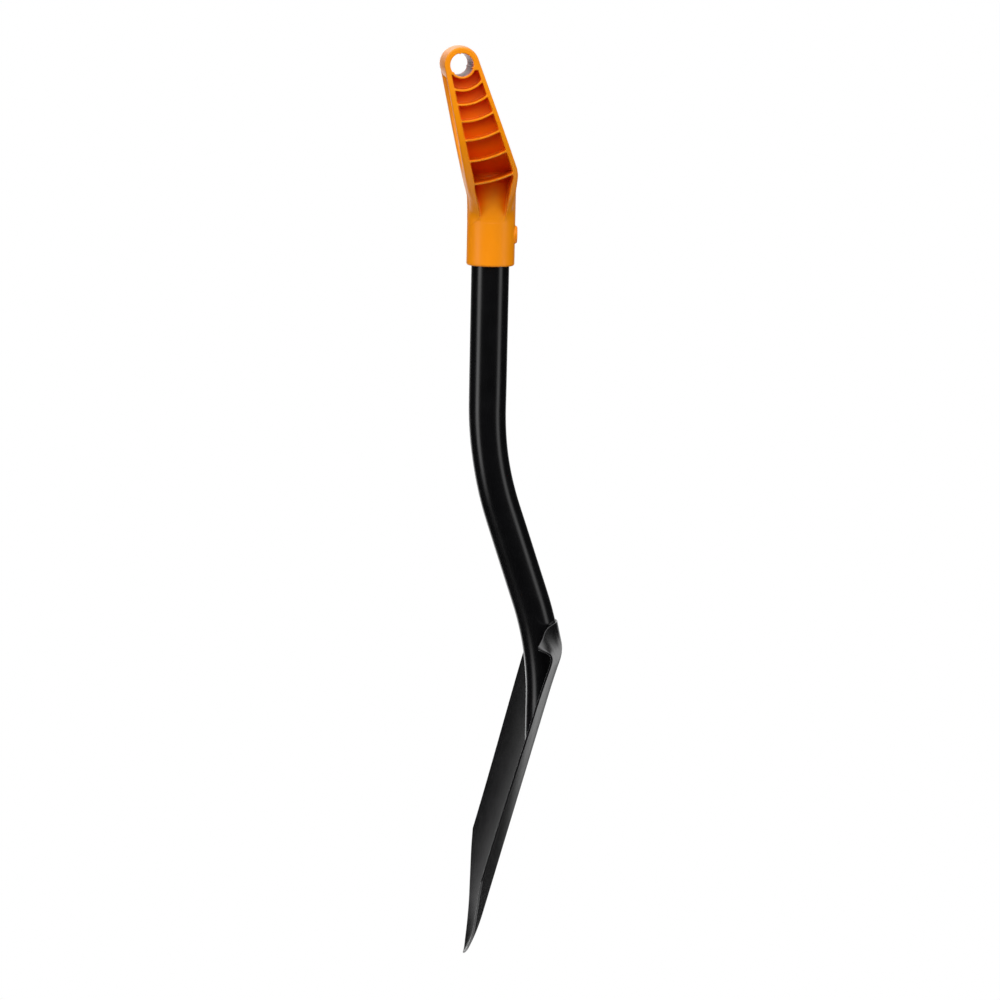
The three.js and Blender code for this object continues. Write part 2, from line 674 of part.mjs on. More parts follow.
// A short bead just under the sheet's top edge, between it and one side of the tube.
function topWeld(side) {
  const points = [];
  const stops = 5;
  for (let i = 0; i <= stops; i += 1) {
    const degrees = THREE.MathUtils.lerp(TOP_BEAD_ANGLES[0], TOP_BEAD_ANGLES[1], i / stops);
    points.push(besideTube(side * degrees, BEAD_SINK, TREAD_TOP_Z - 2 * TOP_BEAD_RADIUS));
  }
  return toGeometry(cornerBead(points, TOP_BEAD_RADIUS));
}

// ---- Assembly -----------------------------------------------------------------------------------

const spade = new THREE.Group();
spade.add(
  namedMesh('d_handle', toGeometry(handleSolid()), orangePlastic),
  namedMesh('handle_screw', handleScrew(), zincSteel),
  namedMesh('shaft_tube', shaftTube(), blackPaint),
  namedMesh('blade', blade(), blackPaint),
  namedMesh('weld_bead', weldBead(), weldPaint),
  namedMesh('weld_top_left', topWeld(1), weldPaint),
  namedMesh('weld_top_right', topWeld(-1), weldPaint),
);

export default spade;
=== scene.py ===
"""Short-handled round-point spade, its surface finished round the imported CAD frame. All lengths are in
metres, except in the signed distance functions of the D-handle, which work in millimetres."""

import math

import bpy
import numpy as np
from mathutils import Matrix, Vector


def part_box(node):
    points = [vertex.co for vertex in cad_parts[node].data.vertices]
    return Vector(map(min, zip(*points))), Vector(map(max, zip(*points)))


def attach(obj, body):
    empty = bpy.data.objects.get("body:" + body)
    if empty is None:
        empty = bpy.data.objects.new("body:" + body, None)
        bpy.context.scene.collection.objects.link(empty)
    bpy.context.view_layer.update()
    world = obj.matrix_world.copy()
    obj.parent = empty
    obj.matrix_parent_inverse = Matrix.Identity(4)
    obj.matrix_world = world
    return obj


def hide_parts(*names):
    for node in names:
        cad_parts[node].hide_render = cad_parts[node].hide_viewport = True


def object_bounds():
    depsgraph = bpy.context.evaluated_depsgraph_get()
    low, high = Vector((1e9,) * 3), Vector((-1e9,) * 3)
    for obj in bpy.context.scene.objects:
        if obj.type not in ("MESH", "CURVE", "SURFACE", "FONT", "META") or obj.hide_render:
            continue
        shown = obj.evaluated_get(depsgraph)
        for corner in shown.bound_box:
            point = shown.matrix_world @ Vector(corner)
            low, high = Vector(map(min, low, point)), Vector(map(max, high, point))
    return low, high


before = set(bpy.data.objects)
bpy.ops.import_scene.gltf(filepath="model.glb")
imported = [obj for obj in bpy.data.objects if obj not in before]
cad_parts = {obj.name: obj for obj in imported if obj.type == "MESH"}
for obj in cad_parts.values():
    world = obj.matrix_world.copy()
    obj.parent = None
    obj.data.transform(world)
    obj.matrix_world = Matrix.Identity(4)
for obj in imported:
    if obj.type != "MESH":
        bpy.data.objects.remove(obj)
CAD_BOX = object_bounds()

MM = 0.001

# ---- Sizes read from the frame ------------------------------------------------------------------

HANDLE_LOW, HANDLE_HIGH = (np.array(corner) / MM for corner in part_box("d_handle"))
TUBE_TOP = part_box("shaft_tube")[1][2] / MM
FLOOR_GAP = 0.35  # the spade hangs on its grip, clear of the floor
FLOOR_Z = CAD_BOX[0][2] - FLOOR_GAP

# ---- Sizes in millimetres, as the CAD part has them ---------------------------------------------

GRIP_HALF = HANDLE_HIGH[0]
GRIP_RADIUS = 14.6
GRIP_CROWN = 1.35  # how much thicker it is in the middle
BORE_RADIUS = 9.8
BORE_RIDGES = [math.radians(degrees) for degrees in (100, 225, 347)]  # seen from +X
BORE_RIDGE_RADIUS = 1.0
SHAFT_Y = 30.45
TUBE_RADIUS = 16.5
TUBE_WALL = 1.5
UPPER_BEND_Z, LOWER_BEND_Z = -344.5, -511.5
UPPER_BEND_RADIUS, LOWER_BEND_RADIUS = 300.0, 285.0
SHAFT_OFFSET = 56.3
SOCKET_RADIUS = 20.9
SOCKET_RIM = HANDLE_LOW[2]
SOCKET_TOP = -94.0
SOCKET_FLOOR = -120.0
SOCKET_CLEARANCE = 0.45
ARM_FRONT_SLOPE, ARM_BACK_SLOPE = 0.213, 0.38
ARM_BACK_OUT = 0.6
ARM_SHOULDER_Y, ARM_SHOULDER_Z = 50.0, -90.0
FOOT_LOW, FOOT_HIGH = -134.0, -94.0  # the arms run into the socket between these heights
FOOT_SHRINK = 1.6
WEB = 3.0
BACK_FLANGE = 4.0
RIB_RADII = [21.2 + 12 * k + k * (k - 1) for k in range(6)]  # the ribs are arcs round the grip's axis
RIB_HALF = 0.9
RIB_DRAFT, POCKET_DRAFT = 0.012, 0.02
POCKET_TOP_RADIUS = 11.4
POCKET_TOP_Z = -4.0
POCKET_TIP_Z = -135.5
SCREW_Z = -145.5
SCREW_HEAD_HOLE, SCREW_HEAD_DEPTH = 4.7, 3.8
SCREW_SHANK_HOLE = 2.6
BOSS_RADIUS = 7.6
BOSS_FACE = HANDLE_HIGH[1]
SHEET = 1.6
BLADE_TILT = math.radians(15.07)
BLADE_BEND = (101.25, -513.7)


# ---- Mesh helpers -------------------------------------------------------------------------------

def new_piece(name, verts_mm, faces, material, node, normals=None):
    """A shown piece from points in millimetres, riding on the root and standing for one CAD node."""
    mesh = bpy.data.meshes.new(name)
    mesh.from_pydata((np.asarray(verts_mm) * MM).tolist(), [], [tuple(face) for face in faces])
    mesh.validate()
    mesh.shade_smooth()
    if normals is not None:
        mesh.normals_split_custom_set_from_vertices(np.asarray(normals).tolist())
    mesh.materials.append(material)
    piece = bpy.data.objects.new(name, mesh)
    bpy.context.scene.collection.objects.link(piece)
    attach(piece, "root")
    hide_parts(node)
    return piece


def grid_faces(rows, columns, closed=False, start=0):
    """Quads over a grid of points laid row by row."""
    faces = []
    for row in range(rows - 1):
        for column in range(columns if closed else columns - 1):
            beside = (column + 1) % columns
            a, b = start + row * columns + column, start + row * columns + beside
            faces.append((a, b, b + columns, a + columns))
    return faces


def smooth_curve(points, count):
    """A Catmull-Rom curve through 2-D points, with its ends mirrored."""
    p = np.array(points, float)
    p = np.vstack([2 * p[0] - p[1], p, 2 * p[-1] - p[-2]])
    out = []
    spans = len(p) - 3
    for t in np.linspace(0, spans, count):
        i = min(int(t), spans - 1)
        f = t - i
        a, b, c, d = p[i:i + 4]
        out.append(0.5 * (2 * b + (c - a) * f + (2 * a - 5 * b + 4 * c - d) * f * f
                          + (3 * b - a - 3 * c + d) * f ** 3))
    return np.array(out)


# ---- Signed distances, negative inside ----------------------------------------------------------

def polygon_distance(points, u, v):
    """Distance to a closed outline in a plane."""
    points = np.asarray(points, float)
    nearest = np.full(np.broadcast(u, v).shape, 1e9)
    inside = np.zeros(nearest.shape, bool)
    for (u0, v0), (u1, v1) in zip(points, np.roll(points, -1, axis=0)):
        du, dv = u1 - u0, v1 - v0
        if du == 0 and dv == 0:
            continue
        t = np.clip(((u - u0) * du + (v - v0) * dv) / (du * du + dv * dv), 0, 1)
        nearest = np.minimum(nearest, (u - u0 - t * du) ** 2 + (v - v0 - t * dv) ** 2)
        if dv != 0:
            inside ^= ((v0 > v) != (v1 > v)) & (u < du * (v - v0) / dv + u0)
    return np.sqrt(nearest) * np.where(inside, -1, 1)


def meet(a, b, radius):
    """What two solids share, with the edge between them rounded."""
    corner = np.hypot(np.maximum(a + radius, 0), np.maximum(b + radius, 0))
    return np.minimum(np.maximum(a, b), -radius) + corner


def join(a, b, radius):
    """Two solids together, with a fillet of that radius between them."""
    corner = np.hypot(np.maximum(radius - a, 0), np.maximum(radius - b, 0))
    return np.maximum(np.minimum(a, b), radius) - corner


def ease(low, high, x):
    t = np.clip((x - low) / (high - low), 0, 1)
    return t * t * (3 - 2 * t)


# ---- D-handle -----------------------------------------------------------------------------------

def arm_front(z, inset=0.0):
    return -(GRIP_RADIUS - inset) * math.hypot(1, ARM_FRONT_SLOPE) - ARM_FRONT_SLOPE * z


def arm_back(z, inset=0.0):
    return (GRIP_RADIUS + ARM_BACK_OUT - inset) * math.hypot(1, ARM_BACK_SLOPE) - ARM_BACK_SLOPE * z


def channel_front(z):
    return arm_front(z, 4.2 - 0.022 * z)


def arm_side_outline():
    """The arm seen along X, from its foot at the socket's front, round the back and over the grip."""
    foot = SHAFT_Y - SOCKET_RADIUS
    foot_z = -(foot + GRIP_RADIUS * math.hypot(1, ARM_FRONT_SLOPE)) / ARM_FRONT_SLOPE
    turn = smooth_curve([
        (ARM_SHOULDER_Y - 0.8, POCKET_TIP_Z - 4),
        (ARM_SHOULDER_Y - 0.4, ARM_SHOULDER_Z - 14),
        (ARM_SHOULDER_Y - 0.05, ARM_SHOULDER_Z - 4),
        (ARM_SHOULDER_Y - 0.2, ARM_SHOULDER_Z - 0.5),
        (arm_back(ARM_SHOULDER_Z + 4), ARM_SHOULDER_Z + 4),
    ], 24)
    lean = math.atan(ARM_BACK_SLOPE), math.pi + math.atan(ARM_FRONT_SLOPE)
    arc = [(GRIP_RADIUS * math.cos(t), GRIP_RADIUS * math.sin(t)) for t in np.linspace(*lean, 40)]
    waist = smooth_curve([
        (arm_front(foot_z + 12), foot_z + 12),
        (foot - 0.5, foot_z),
        (foot, foot_z - 12),
        (foot, POCKET_TIP_Z - 4),
    ], 16)
    return np.vstack([turn, arc, waist])


def channel_outline():
    """One open channel seen along X, down to its tip between the closing edges."""
    split = -99.0
    corner = ARM_SHOULDER_Y - BACK_FLANGE
    tip_front, tip_back = SHAFT_Y - 10.5, SHAFT_Y + 11.0
    back = smooth_curve([
        (arm_back(-70, BACK_FLANGE), -70),
        (corner - 0.3, ARM_SHOULDER_Z),
        (corner - 1.6, -103),
        (tip_back + 1.0, -120),
        (tip_back - 0.6, POCKET_TIP_Z),
    ], 24)
    front = smooth_curve([
        (tip_front + 0.6, POCKET_TIP_Z),
        (tip_front - 1.5, -122),
        (channel_front(split) + 1.6, split - 7),
        (channel_front(split) - 0.4, split + 4),
        (channel_front(-75), -75),
    ], 24)
    top = [(channel_front(POCKET_TOP_Z), POCKET_TOP_Z), (arm_back(POCKET_TOP_Z, BACK_FLANGE), POCKET_TOP_Z)]
    return np.vstack([back, front, top])


def arm_outside_outline():
    """The D filled in, seen along Y, right half and a little over the middle."""
    past_middle, above, below = -20, 40, -150
    flank = smooth_curve([
        (GRIP_HALF, -25), (65.5, -45), (61.5, -65), (55, -82), (48, -95), (38.5, -108), (29, -120),
        (SOCKET_RADIUS + 0.8, -134),
    ], 60)
    return np.vstack([
        [(past_middle, above), (GRIP_HALF, above)], flank, [(SOCKET_RADIUS, below), (past_middle, below)],
    ])


def hand_opening_outline():
    """The hand opening up past the grip, seen along Y, right half and a little over the middle."""
    past_middle, bottom, top = -20, -91.5, 30
    right = smooth_curve([
        (0, bottom), (17, -88.5), (31, -80), (41.5, -68), (47.5, -54), (50.5, -35), (51, top),
    ], 60)
    return np.vstack([right, [(past_middle, top), (past_middle, bottom)]])


ARM_SIDE = arm_side_outline()
CHANNEL = channel_outline()
ARM_OUTSIDE = arm_outside_outline()
HAND_OPENING = hand_opening_outline()


def arms_distance(y, z, outside, opening):
    """Both arms, rounder at the front and lower down, and flush with the socket at their foot."""
    side = polygon_distance(ARM_SIDE, y, z)
    foot = 1 - ease(FOOT_LOW, FOOT_HIGH, z)
    front = 1 - ease(SHAFT_Y - 16, SHAFT_Y - 6, y)
    edge = 1.1 + 1.6 * (1 - ease(-100, -30, z)) * front + (SOCKET_RADIUS - 3.2) * foot ** 1.5
    arms = meet(side, outside, edge)
    return meet(arms, -opening, 2.6) + FOOT_SHRINK * foot


def grip_distance(x, from_grip):
    """The cross grip, thickest in the middle."""
    crowned = from_grip - GRIP_RADIUS - GRIP_CROWN * (1 - (x / GRIP_HALF) ** 2)
    return meet(crowned, x - GRIP_HALF, 1.5)


def grip_fillet(x, z):
    """Fillet radius between grip and arms: full in the hand opening, almost none where they are flush."""
    return 0.2 + 2.8 * (1 - ease(49, 55, x)) * (1 - ease(-12, -7, z))


def socket_distance(from_shaft, z):
    return meet(from_shaft - SOCKET_RADIUS, np.maximum(SOCKET_RIM - z, z - SOCKET_TOP), 1.8)


def boss_distance(y, from_screw):
    return meet(from_screw - BOSS_RADIUS, np.maximum(y - BOSS_FACE, SHAFT_Y + 12 - y), 1.0)


def pockets_distance(y, z, from_grip, from_shaft, outside, opening):
    """The open channels between the ribs. Their walls have draft, so they narrow with their depth."""
    depth = np.clip(-outside, 0, 30)
    rib = np.full(from_grip.shape, 1e9)
    for radius in RIB_RADII:
        rib = np.minimum(rib, np.abs(from_grip - radius) - RIB_HALF - RIB_DRAFT * depth)
    floor = join(opening - WEB, meet(from_shaft - SOCKET_RADIUS, z - SOCKET_TOP, 7.0), 7.0)
    channel = polygon_distance(CHANNEL, y, z) + POCKET_DRAFT * depth
    pocket = meet(channel, -floor, 1.4)
    pocket = meet(pocket, POCKET_TOP_RADIUS - from_grip, 0.8)
    return meet(pocket, -rib, 0.9)


def bore_distance(y, z, from_grip):
    """The grip's bore, with three low ridges along it."""
    bore = from_grip - BORE_RADIUS
    reach = BORE_RADIUS + 0.2
    for angle in BORE_RIDGES:
        ridge = np.hypot(y - reach * math.cos(angle), z - reach * math.sin(angle)) - BORE_RIDGE_RADIUS
        bore = meet(bore, -ridge, 0.25)
    return bore


def tube_hole_distance(from_shaft, z):
    return meet(from_shaft - TUBE_RADIUS - SOCKET_CLEARANCE, z - SOCKET_FLOOR, 0.5)


def screw_hole_distance(y, from_screw):
    """The recess for the screw's head and the hole for its shank."""
    recess = meet(from_screw - SCREW_HEAD_HOLE, BOSS_FACE - SCREW_HEAD_DEPTH - y, 0.3)
    shank = meet(from_screw - SCREW_SHANK_HOLE, SHAFT_Y - y, 0.1)
    return np.minimum(recess, shank)


def handle_distance(x, y, z):
    """Signed distance of the whole moulding, in millimetres."""
    x = np.abs(x)
    from_grip = np.hypot(y, z)
    from_shaft = np.hypot(x, y - SHAFT_Y)
    from_screw = np.hypot(x, z - SCREW_Z)
    opening = polygon_distance(HAND_OPENING, x, z)
    outside = polygon_distance(ARM_OUTSIDE, x, z)

    arms = arms_distance(y, z, outside, opening)
    solid = join(arms, grip_distance(x, from_grip), grip_fillet(x, z))
    solid = join(solid, socket_distance(from_shaft, z), 2.5)
    solid = join(solid, boss_distance(y, from_screw), 0.9)

    pockets = pockets_distance(y, z, from_grip, from_shaft, outside, opening)
    solid = meet(solid, -pockets, 0.35)
    solid = meet(solid, -bore_distance(y, z, from_grip), 0.5)
    solid = meet(solid, -tube_hole_distance(from_shaft, z), 0.7)
    return meet(solid, -screw_hole_distance(y, from_screw), 0.35)


def sampled(distance, low, high, step):
    """The distance over a grid that is mirrored about X = 0, and the grid's first corner."""
    half = np.arange(0.5 * step[0], high[0] + 2.6 * step[0], step[0])
    y, z = (np.arange(low[i] - 1.6 * step[i], high[i] + 2.6 * step[i], step[i]) for i in (1, 2))
    field = distance(half[:, None, None], y[None, :, None], z[None, None, :])
    return np.concatenate([field[::-1], field]), np.array([-half[-1], y[0], z[0]])


def crossing_means(field, cells, corners):
    """For each cell, the mean of the points where the surface crosses its edges, in cells."""
    total = np.zeros((len(cells), 3))
    crossings = np.zeros(len(cells))
    for axis in range(3):
        along = np.eye(3, dtype=int)[axis]
        for corner in corners:
            if corner[axis] == 1:
                continue
            a = cells + corner
            b = a + along
            fa, fb = field[tuple(a.T)], field[tuple(b.T)]
            crosses = (fa < 0) != (fb < 0)
            share = np.where(crosses, fa / np.where(crosses, fa - fb, 1), 0)
            total += np.where(crosses[:, None], np.array(corner) + share[:, None] * along, 0)
            crossings += crosses
    return cells + total / crossings[:, None]


def surface_quads(inside, number):
    """A quad round each grid edge that the surface crosses, from the numbers of the four cells there."""
    quads = []
    for axis in range(3):
        one, two = np.eye(3, dtype=int)[(axis + 1) % 3], np.eye(3, dtype=int)[(axis + 2) % 3]
        lower = tuple(slice(0, s - (i == axis)) for i, s in enumerate(inside.shape))
        upper = tuple(slice(i == axis, s) for i, s in enumerate(inside.shape))
        leaving, entering = inside[lower] & ~inside[upper], ~inside[lower] & inside[upper]
        for start, flip in ((leaving, False), (entering, True)):
            edge = np.argwhere(start)
            ring = [number[tuple((edge - one - two).T)], number[tuple((edge - two).T)],
                    number[tuple(edge.T)], number[tuple((edge - one).T)]]
            quads.append(np.stack(ring[::-1] if flip else ring, axis=1))
    return np.vstack(quads)


def slope(distance, points, reach):
    """Unit direction in which a distance grows, from differences over a reach."""
    out = np.empty_like(points)
    for axis in range(3):
        move = reach * np.eye(3)[axis]
        out[:, axis] = distance(*(points + move).T) - distance(*(points - move).T)
    return out / np.maximum(np.linalg.norm(out, axis=1), 1e-9)[:, None]


def surface_of(distance, low, high, step):
    """Points, quads and normals of the surface where a distance is zero, by surface nets. The distance is the
    same on both sides of X = 0, and step holds one grid step for each axis."""
    field, origin = sampled(distance, low, high, step)
    inside = field < 0
    nx, ny, nz = (size - 1 for size in field.shape)
    corners = [(i, j, k) for i in (0, 1) for j in (0, 1) for k in (0, 1)]
    held = sum(inside[i:i + nx, j:j + ny, k:k + nz].astype(np.int8) for i, j, k in corners)
    cells = np.argwhere((held > 0) & (held < len(corners)))
    number = np.full((nx, ny, nz), -1, np.int64)
    number[tuple(cells.T)] = np.arange(len(cells))
    points = origin + step * crossing_means(field, cells, corners)
    for _ in range(3):
        normal = slope(distance, points, 0.05)
        points -= np.clip(distance(*points.T), -0.4, 0.4)[:, None] * normal
    return points, surface_quads(inside, number), slope(distance, points, 0.12)


# ---- Shaft --------------------------------------------------------------------------------------

BEND_ANGLE = math.atan2(SHAFT_OFFSET, UPPER_BEND_Z - LOWER_BEND_Z)
BEND_FLATTENING, BEND_FLAT_LENGTH = 0.03, 40


def shaft_axis(z):
    """Y of the tube's axis, and its slope dY/dZ, at the height z."""
    upper_reach = UPPER_BEND_RADIUS * math.tan(BEND_ANGLE / 2)
    lower_reach = LOWER_BEND_RADIUS * math.tan(BEND_ANGLE / 2)
    upper_top, upper_low = UPPER_BEND_Z + upper_reach, UPPER_BEND_Z - upper_reach * math.cos(BEND_ANGLE)
    lower_top, lower_low = LOWER_BEND_Z + lower_reach * math.cos(BEND_ANGLE), LOWER_BEND_Z - lower_reach
    drop = np.clip(upper_top - z, 0, UPPER_BEND_RADIUS * math.sin(BEND_ANGLE))
    rise = np.clip(z - lower_low, 0, LOWER_BEND_RADIUS * math.sin(BEND_ANGLE))
    upper_level = np.sqrt(UPPER_BEND_RADIUS ** 2 - drop ** 2)
    lower_level = np.sqrt(LOWER_BEND_RADIUS ** 2 - rise ** 2)
    upper = SHAFT_Y + UPPER_BEND_RADIUS - upper_level
    straight = SHAFT_Y + (UPPER_BEND_Z - z) * math.tan(BEND_ANGLE)
    lower = SHAFT_Y + SHAFT_OFFSET - LOWER_BEND_RADIUS + lower_level
    y = np.where(z > upper_low, upper, np.where(z > lower_top, straight, lower))
    gradient = np.where(
        z > upper_low, -drop / upper_level,
        np.where(z > lower_top, -math.tan(BEND_ANGLE), -rise / lower_level),
    )
    return y, gradient


def tube_point(z, angle, radius):
    """Point at an angle round the tube from its front, where the axis has the height z."""
    y, gradient = shaft_axis(z)
    length = np.sqrt(1 + gradient ** 2)
    normal_y, normal_z = 1 / length, -gradient / length
    flattening = BEND_FLATTENING * np.exp(-((z - UPPER_BEND_Z) / BEND_FLAT_LENGTH) ** 2)
    reach = radius * np.cos(angle) * (1 - flattening)
    return np.stack([radius * np.sin(angle) + 0 * z, y - reach * normal_y, z - reach * normal_z], axis=-1)


def tube_ends(angle, radius):
    """Height of the axis where each line along the tube meets the blade's front surface."""
    start, stop, step, gap = -495.0, -640.0, -0.25, 0.05
    z = np.arange(start, stop, step)
    clear = front_of_blade(tube_point(z[None, :], angle[:, None], radius)) > gap
    last = np.argmin(clear, axis=1)
    return z[last]


def build_shaft(material):
    around, rows = 80, 190
    angle = np.linspace(0, 2 * math.pi, around, endpoint=False)
    share = np.linspace(0, 1, rows)[:, None]
    walls = []
    for radius in (TUBE_RADIUS, TUBE_RADIUS - TUBE_WALL):
        bottom = tube_ends(angle, radius)[None, :]
        walls.append(tube_point(TUBE_TOP + share * (bottom - TUBE_TOP), angle[None, :], radius).reshape(-1, 3))
    count = rows * around
    outer = grid_faces(rows, around, closed=True)
    inner = [face[::-1] for face in grid_faces(rows, around, closed=True, start=count)]
    rims = []
    low = (rows - 1) * around
    for i in range(around):
        j = (i + 1) % around
        rims.append((j, i, count + i, count + j))
        rims.append((low + i, low + j, count + low + j, count + low + i))
    piece = new_piece("shaft", np.vstack(walls), outer + inner + rims, material, "shaft_tube")
    soften_edges(piece, 0.3)
    return piece


# ---- Blade --------------------------------------------------------------------------------------

SHOULDER_HALF, BLADE_HALF = 100.0, 84.0
TAPER_START, TAPER_END = 8, 192  # distances down the blade from the fold
CORNER_S, TIP_S = 201.6, 294.0
DISH_SLOPE, DISH_CURVE, DISH_SOFTNESS = 0.177, 0.00074, 6
TIP_CURL, TIP_CURL_START, TIP_CURL_POWER = 5.6, 248, 2.5
FOLD_BULGE, FOLD_BULGE_LENGTH = 1.24, 40
TREAD_SAG = 2.8
TREAD_END_ROUND, TREAD_END_START = 1.5, 0.94
TREAD_TOP_Y, TREAD_TOP_Z = 96.6, -487.4
FOLD_RISE, FOLD_REACH = 13.0, 8.0
POINT_OUTLINE = [(0, TIP_S), (17.5, 283.2), (33.5, 269), (46, 254.8), (56.5, 241.8), (73.3, 219.3),
                 (BLADE_HALF, CORNER_S)]
TREAD_PLAN = [(-8, 1.3), (0, 0), (8, 1.3), (16, 4.6), (31, 10.4), (48, 14.2), (69, 17.4), (88, 21.2),
              (SHOULDER_HALF, 24)]


def read_curve(points, x):
    fine = smooth_curve(points, 400)
    return np.interp(x, fine[:, 0], fine[:, 1])


def half_width(s):
    return SHOULDER_HALF + (BLADE_HALF - SHOULDER_HALF) * ease(TAPER_START, TAPER_END, s)


def dish_depth(u):
    x = np.abs(u) * BLADE_HALF
    return DISH_SLOPE * (np.hypot(x, DISH_SOFTNESS) - DISH_SOFTNESS) + DISH_CURVE * x * x


def back_depth(u, s):
    """How far the back surface stands in front of the blade's plane."""
    curl = np.maximum(0, s - TIP_CURL_START) / (TIP_S - TIP_CURL_START)
    bulge = np.maximum(0, 1 - np.maximum(0, s) / FOLD_BULGE_LENGTH)
    return dish_depth(u) + TIP_CURL * curl ** TIP_CURL_POWER - FOLD_BULGE * bulge ** 2


def blade_point(u, s):
    """Back surface of the sheet below the fold, s down the blade and u across it."""
    n = back_depth(u, s)
    return np.stack([
        u * half_width(s),
        BLADE_BEND[0] - s * math.sin(BLADE_TILT) - n * math.cos(BLADE_TILT),
        BLADE_BEND[1] - s * math.cos(BLADE_TILT) + n * math.sin(BLADE_TILT),
    ], axis=-1)


def tread_edge(u):
    """The tread's front edge, rounded off at its ends."""
    inset = TREAD_END_ROUND * (np.maximum(0, np.abs(u) - TREAD_END_START) / (1 - TREAD_END_START)) ** 2
    return np.stack([
        u * SHOULDER_HALF,
        TREAD_TOP_Y - read_curve(TREAD_PLAN, np.abs(u) * SHOULDER_HALF) + inset,
        TREAD_TOP_Z - TREAD_SAG * u * u - inset,
    ], axis=-1)


def blade_back(u, tread_rows, fold_rows, blade_rows):
    """Grid of the back surface: one line of points from the tread's edge to the point for each u."""
    fold_s = -FOLD_RISE * u * u
    corner, edge = blade_point(u, fold_s), tread_edge(u)
    reach = np.minimum(1, FOLD_REACH / np.linalg.norm(corner - edge, axis=1))[:, None]
    fold_top = corner + (edge - corner) * reach
    below = blade_point(u, fold_s + FOLD_REACH)
    t = np.linspace(0, 1, tread_rows, endpoint=False)[:, None, None]
    tread = edge + (fold_top - edge) * t
    t = np.linspace(0, 1, fold_rows, endpoint=False)[:, None, None]
    fold = fold_top * (1 - t) ** 2 + corner * 2 * t * (1 - t) + below * t ** 2
    bottom = read_curve(POINT_OUTLINE, np.abs(u) * BLADE_HALF)
    t = np.linspace(0, 1, blade_rows)[:, None]
    top = fold_s + FOLD_REACH
    lower = blade_point(u[None, :], top + (bottom - top) * t)
    return np.vstack([tread, fold, lower])


def surface_normals(grid):
    """Unit normals of a grid of points, rows going down and columns towards +X, facing the front."""
    down, across = np.gradient(grid, axis=0), np.gradient(grid, axis=1)
    normal = np.cross(down, across)
    return normal / np.linalg.norm(normal, axis=2)[..., None]


def front_of_blade(points):
    """How far points stand in front of the blade's front surface, below the fold."""
    y, z = points[..., 1] - BLADE_BEND[0], points[..., 2] - BLADE_BEND[1]
    s = -y * math.sin(BLADE_TILT) - z * math.cos(BLADE_TILT)
    n = z * math.sin(BLADE_TILT) - y * math.cos(BLADE_TILT)
    return n - back_depth(points[..., 0] / half_width(s), s) - SHEET


def soften_edges(piece, width):
    """Rounds the sharp edges of a piece by a bevel that is part of its mesh."""
    bevel = piece.modifiers.new("soft_edges", "BEVEL")
    bevel.width = width * MM
    bevel.segments = 3
    bevel.limit_method = "ANGLE"
    bevel.angle_limit = math.radians(50)


def build_blade(material):
    columns = 141
    u = np.linspace(-1, 1, columns)
    back = blade_back(u, 14, 14, 130)
    front = back + SHEET * surface_normals(back)
    rows = len(back)
    count = rows * columns
    skin = grid_faces(rows, columns)
    faces = skin + [tuple(count + i for i in face[::-1]) for face in skin]
    border = ([(0, c) for c in range(columns)] + [(r, columns - 1) for r in range(1, rows)]
              + [(rows - 1, c) for c in range(columns - 2, -1, -1)] + [(r, 0) for r in range(rows - 2, 0, -1)])
    ring = [r * columns + c for r, c in border]
    for a, b in zip(ring, ring[1:] + ring[:1]):
        faces.append((b, a, count + a, count + b))
    verts = np.vstack([back.reshape(-1, 3), front.reshape(-1, 3)])
    piece = new_piece("spade_blade", verts, faces, material, "blade")
    soften_edges(piece, 0.5)
    return piece


# ---- Welds and screw ----------------------------------------------------------------------------

def bead_mesh(corner, along_sheet, along_tube, size):
    """A rippled fillet along a corner: closed sections joined into a tube of quads with end caps."""
    steps = len(corner)
    lean = np.linspace(0, math.pi / 2, 9)[None, :, None]
    arc = np.cos(lean) * along_sheet[:, None] + np.sin(lean) * along_tube[:, None]
    bulge = along_sheet + along_tube
    outward = np.cross(np.gradient(corner, axis=0), bulge)
    outward = np.cross(outward, np.gradient(corner, axis=0))
    outward /= np.linalg.norm(outward, axis=1)[:, None]
    swell = 0.12 * np.sin(2 * lean)
    way = np.concatenate([[0], np.cumsum(np.linalg.norm(np.diff(corner, axis=0), axis=1))])
    ripple = 1 + 0.09 * np.abs(np.sin(way * math.pi / 2.6)) + 0.05 * np.sin(way * 0.9)
    taper = np.minimum(1, np.minimum(way, way[-1] - way) / 3 + 0.25)
    scale = (size * ripple * taper)[:, None, None]
    section = corner[:, None] + scale * (arc + swell * outward[:, None])
    sunk = corner - 0.3 * (along_sheet + along_tube)
    section = np.concatenate([section, sunk[:, None]], axis=1)
    around = section.shape[1]
    faces = grid_faces(steps, around, closed=True)
    faces.append(tuple(range(around))[::-1])
    faces.append(tuple((steps - 1) * around + i for i in range(around)))
    return section.reshape(-1, 3), faces


def unit(vectors):
    return vectors / np.linalg.norm(vectors, axis=-1)[..., None]


def build_weld_bead(material):
    """The weld round the tube's cut end, on the blade."""
    angle = np.radians(np.linspace(-124, 124, 150))
    end = tube_ends(angle, TUBE_RADIUS)
    corner = tube_point(end, angle, TUBE_RADIUS)
    sheet_normal = np.stack([
        -np.sign(angle) * 0.2 * np.minimum(1, np.abs(angle)), np.full(len(angle), -math.cos(BLADE_TILT)),
        np.full(len(angle), math.sin(BLADE_TILT)),
    ], axis=1)
    sheet_normal = unit(sheet_normal)
    radial = np.stack([np.sin(angle), -np.cos(angle), 0 * angle], axis=1)
    along_sheet = unit(radial - (radial * sheet_normal).sum(axis=1)[:, None] * sheet_normal)
    _, gradient = shaft_axis(end)
    along_tube = unit(np.stack([0 * angle, gradient, 0 * angle + 1], axis=1))
    verts, faces = bead_mesh(corner, along_sheet, along_tube, 3.4)
    return new_piece("lower_weld", verts, faces, material, "weld_bead")


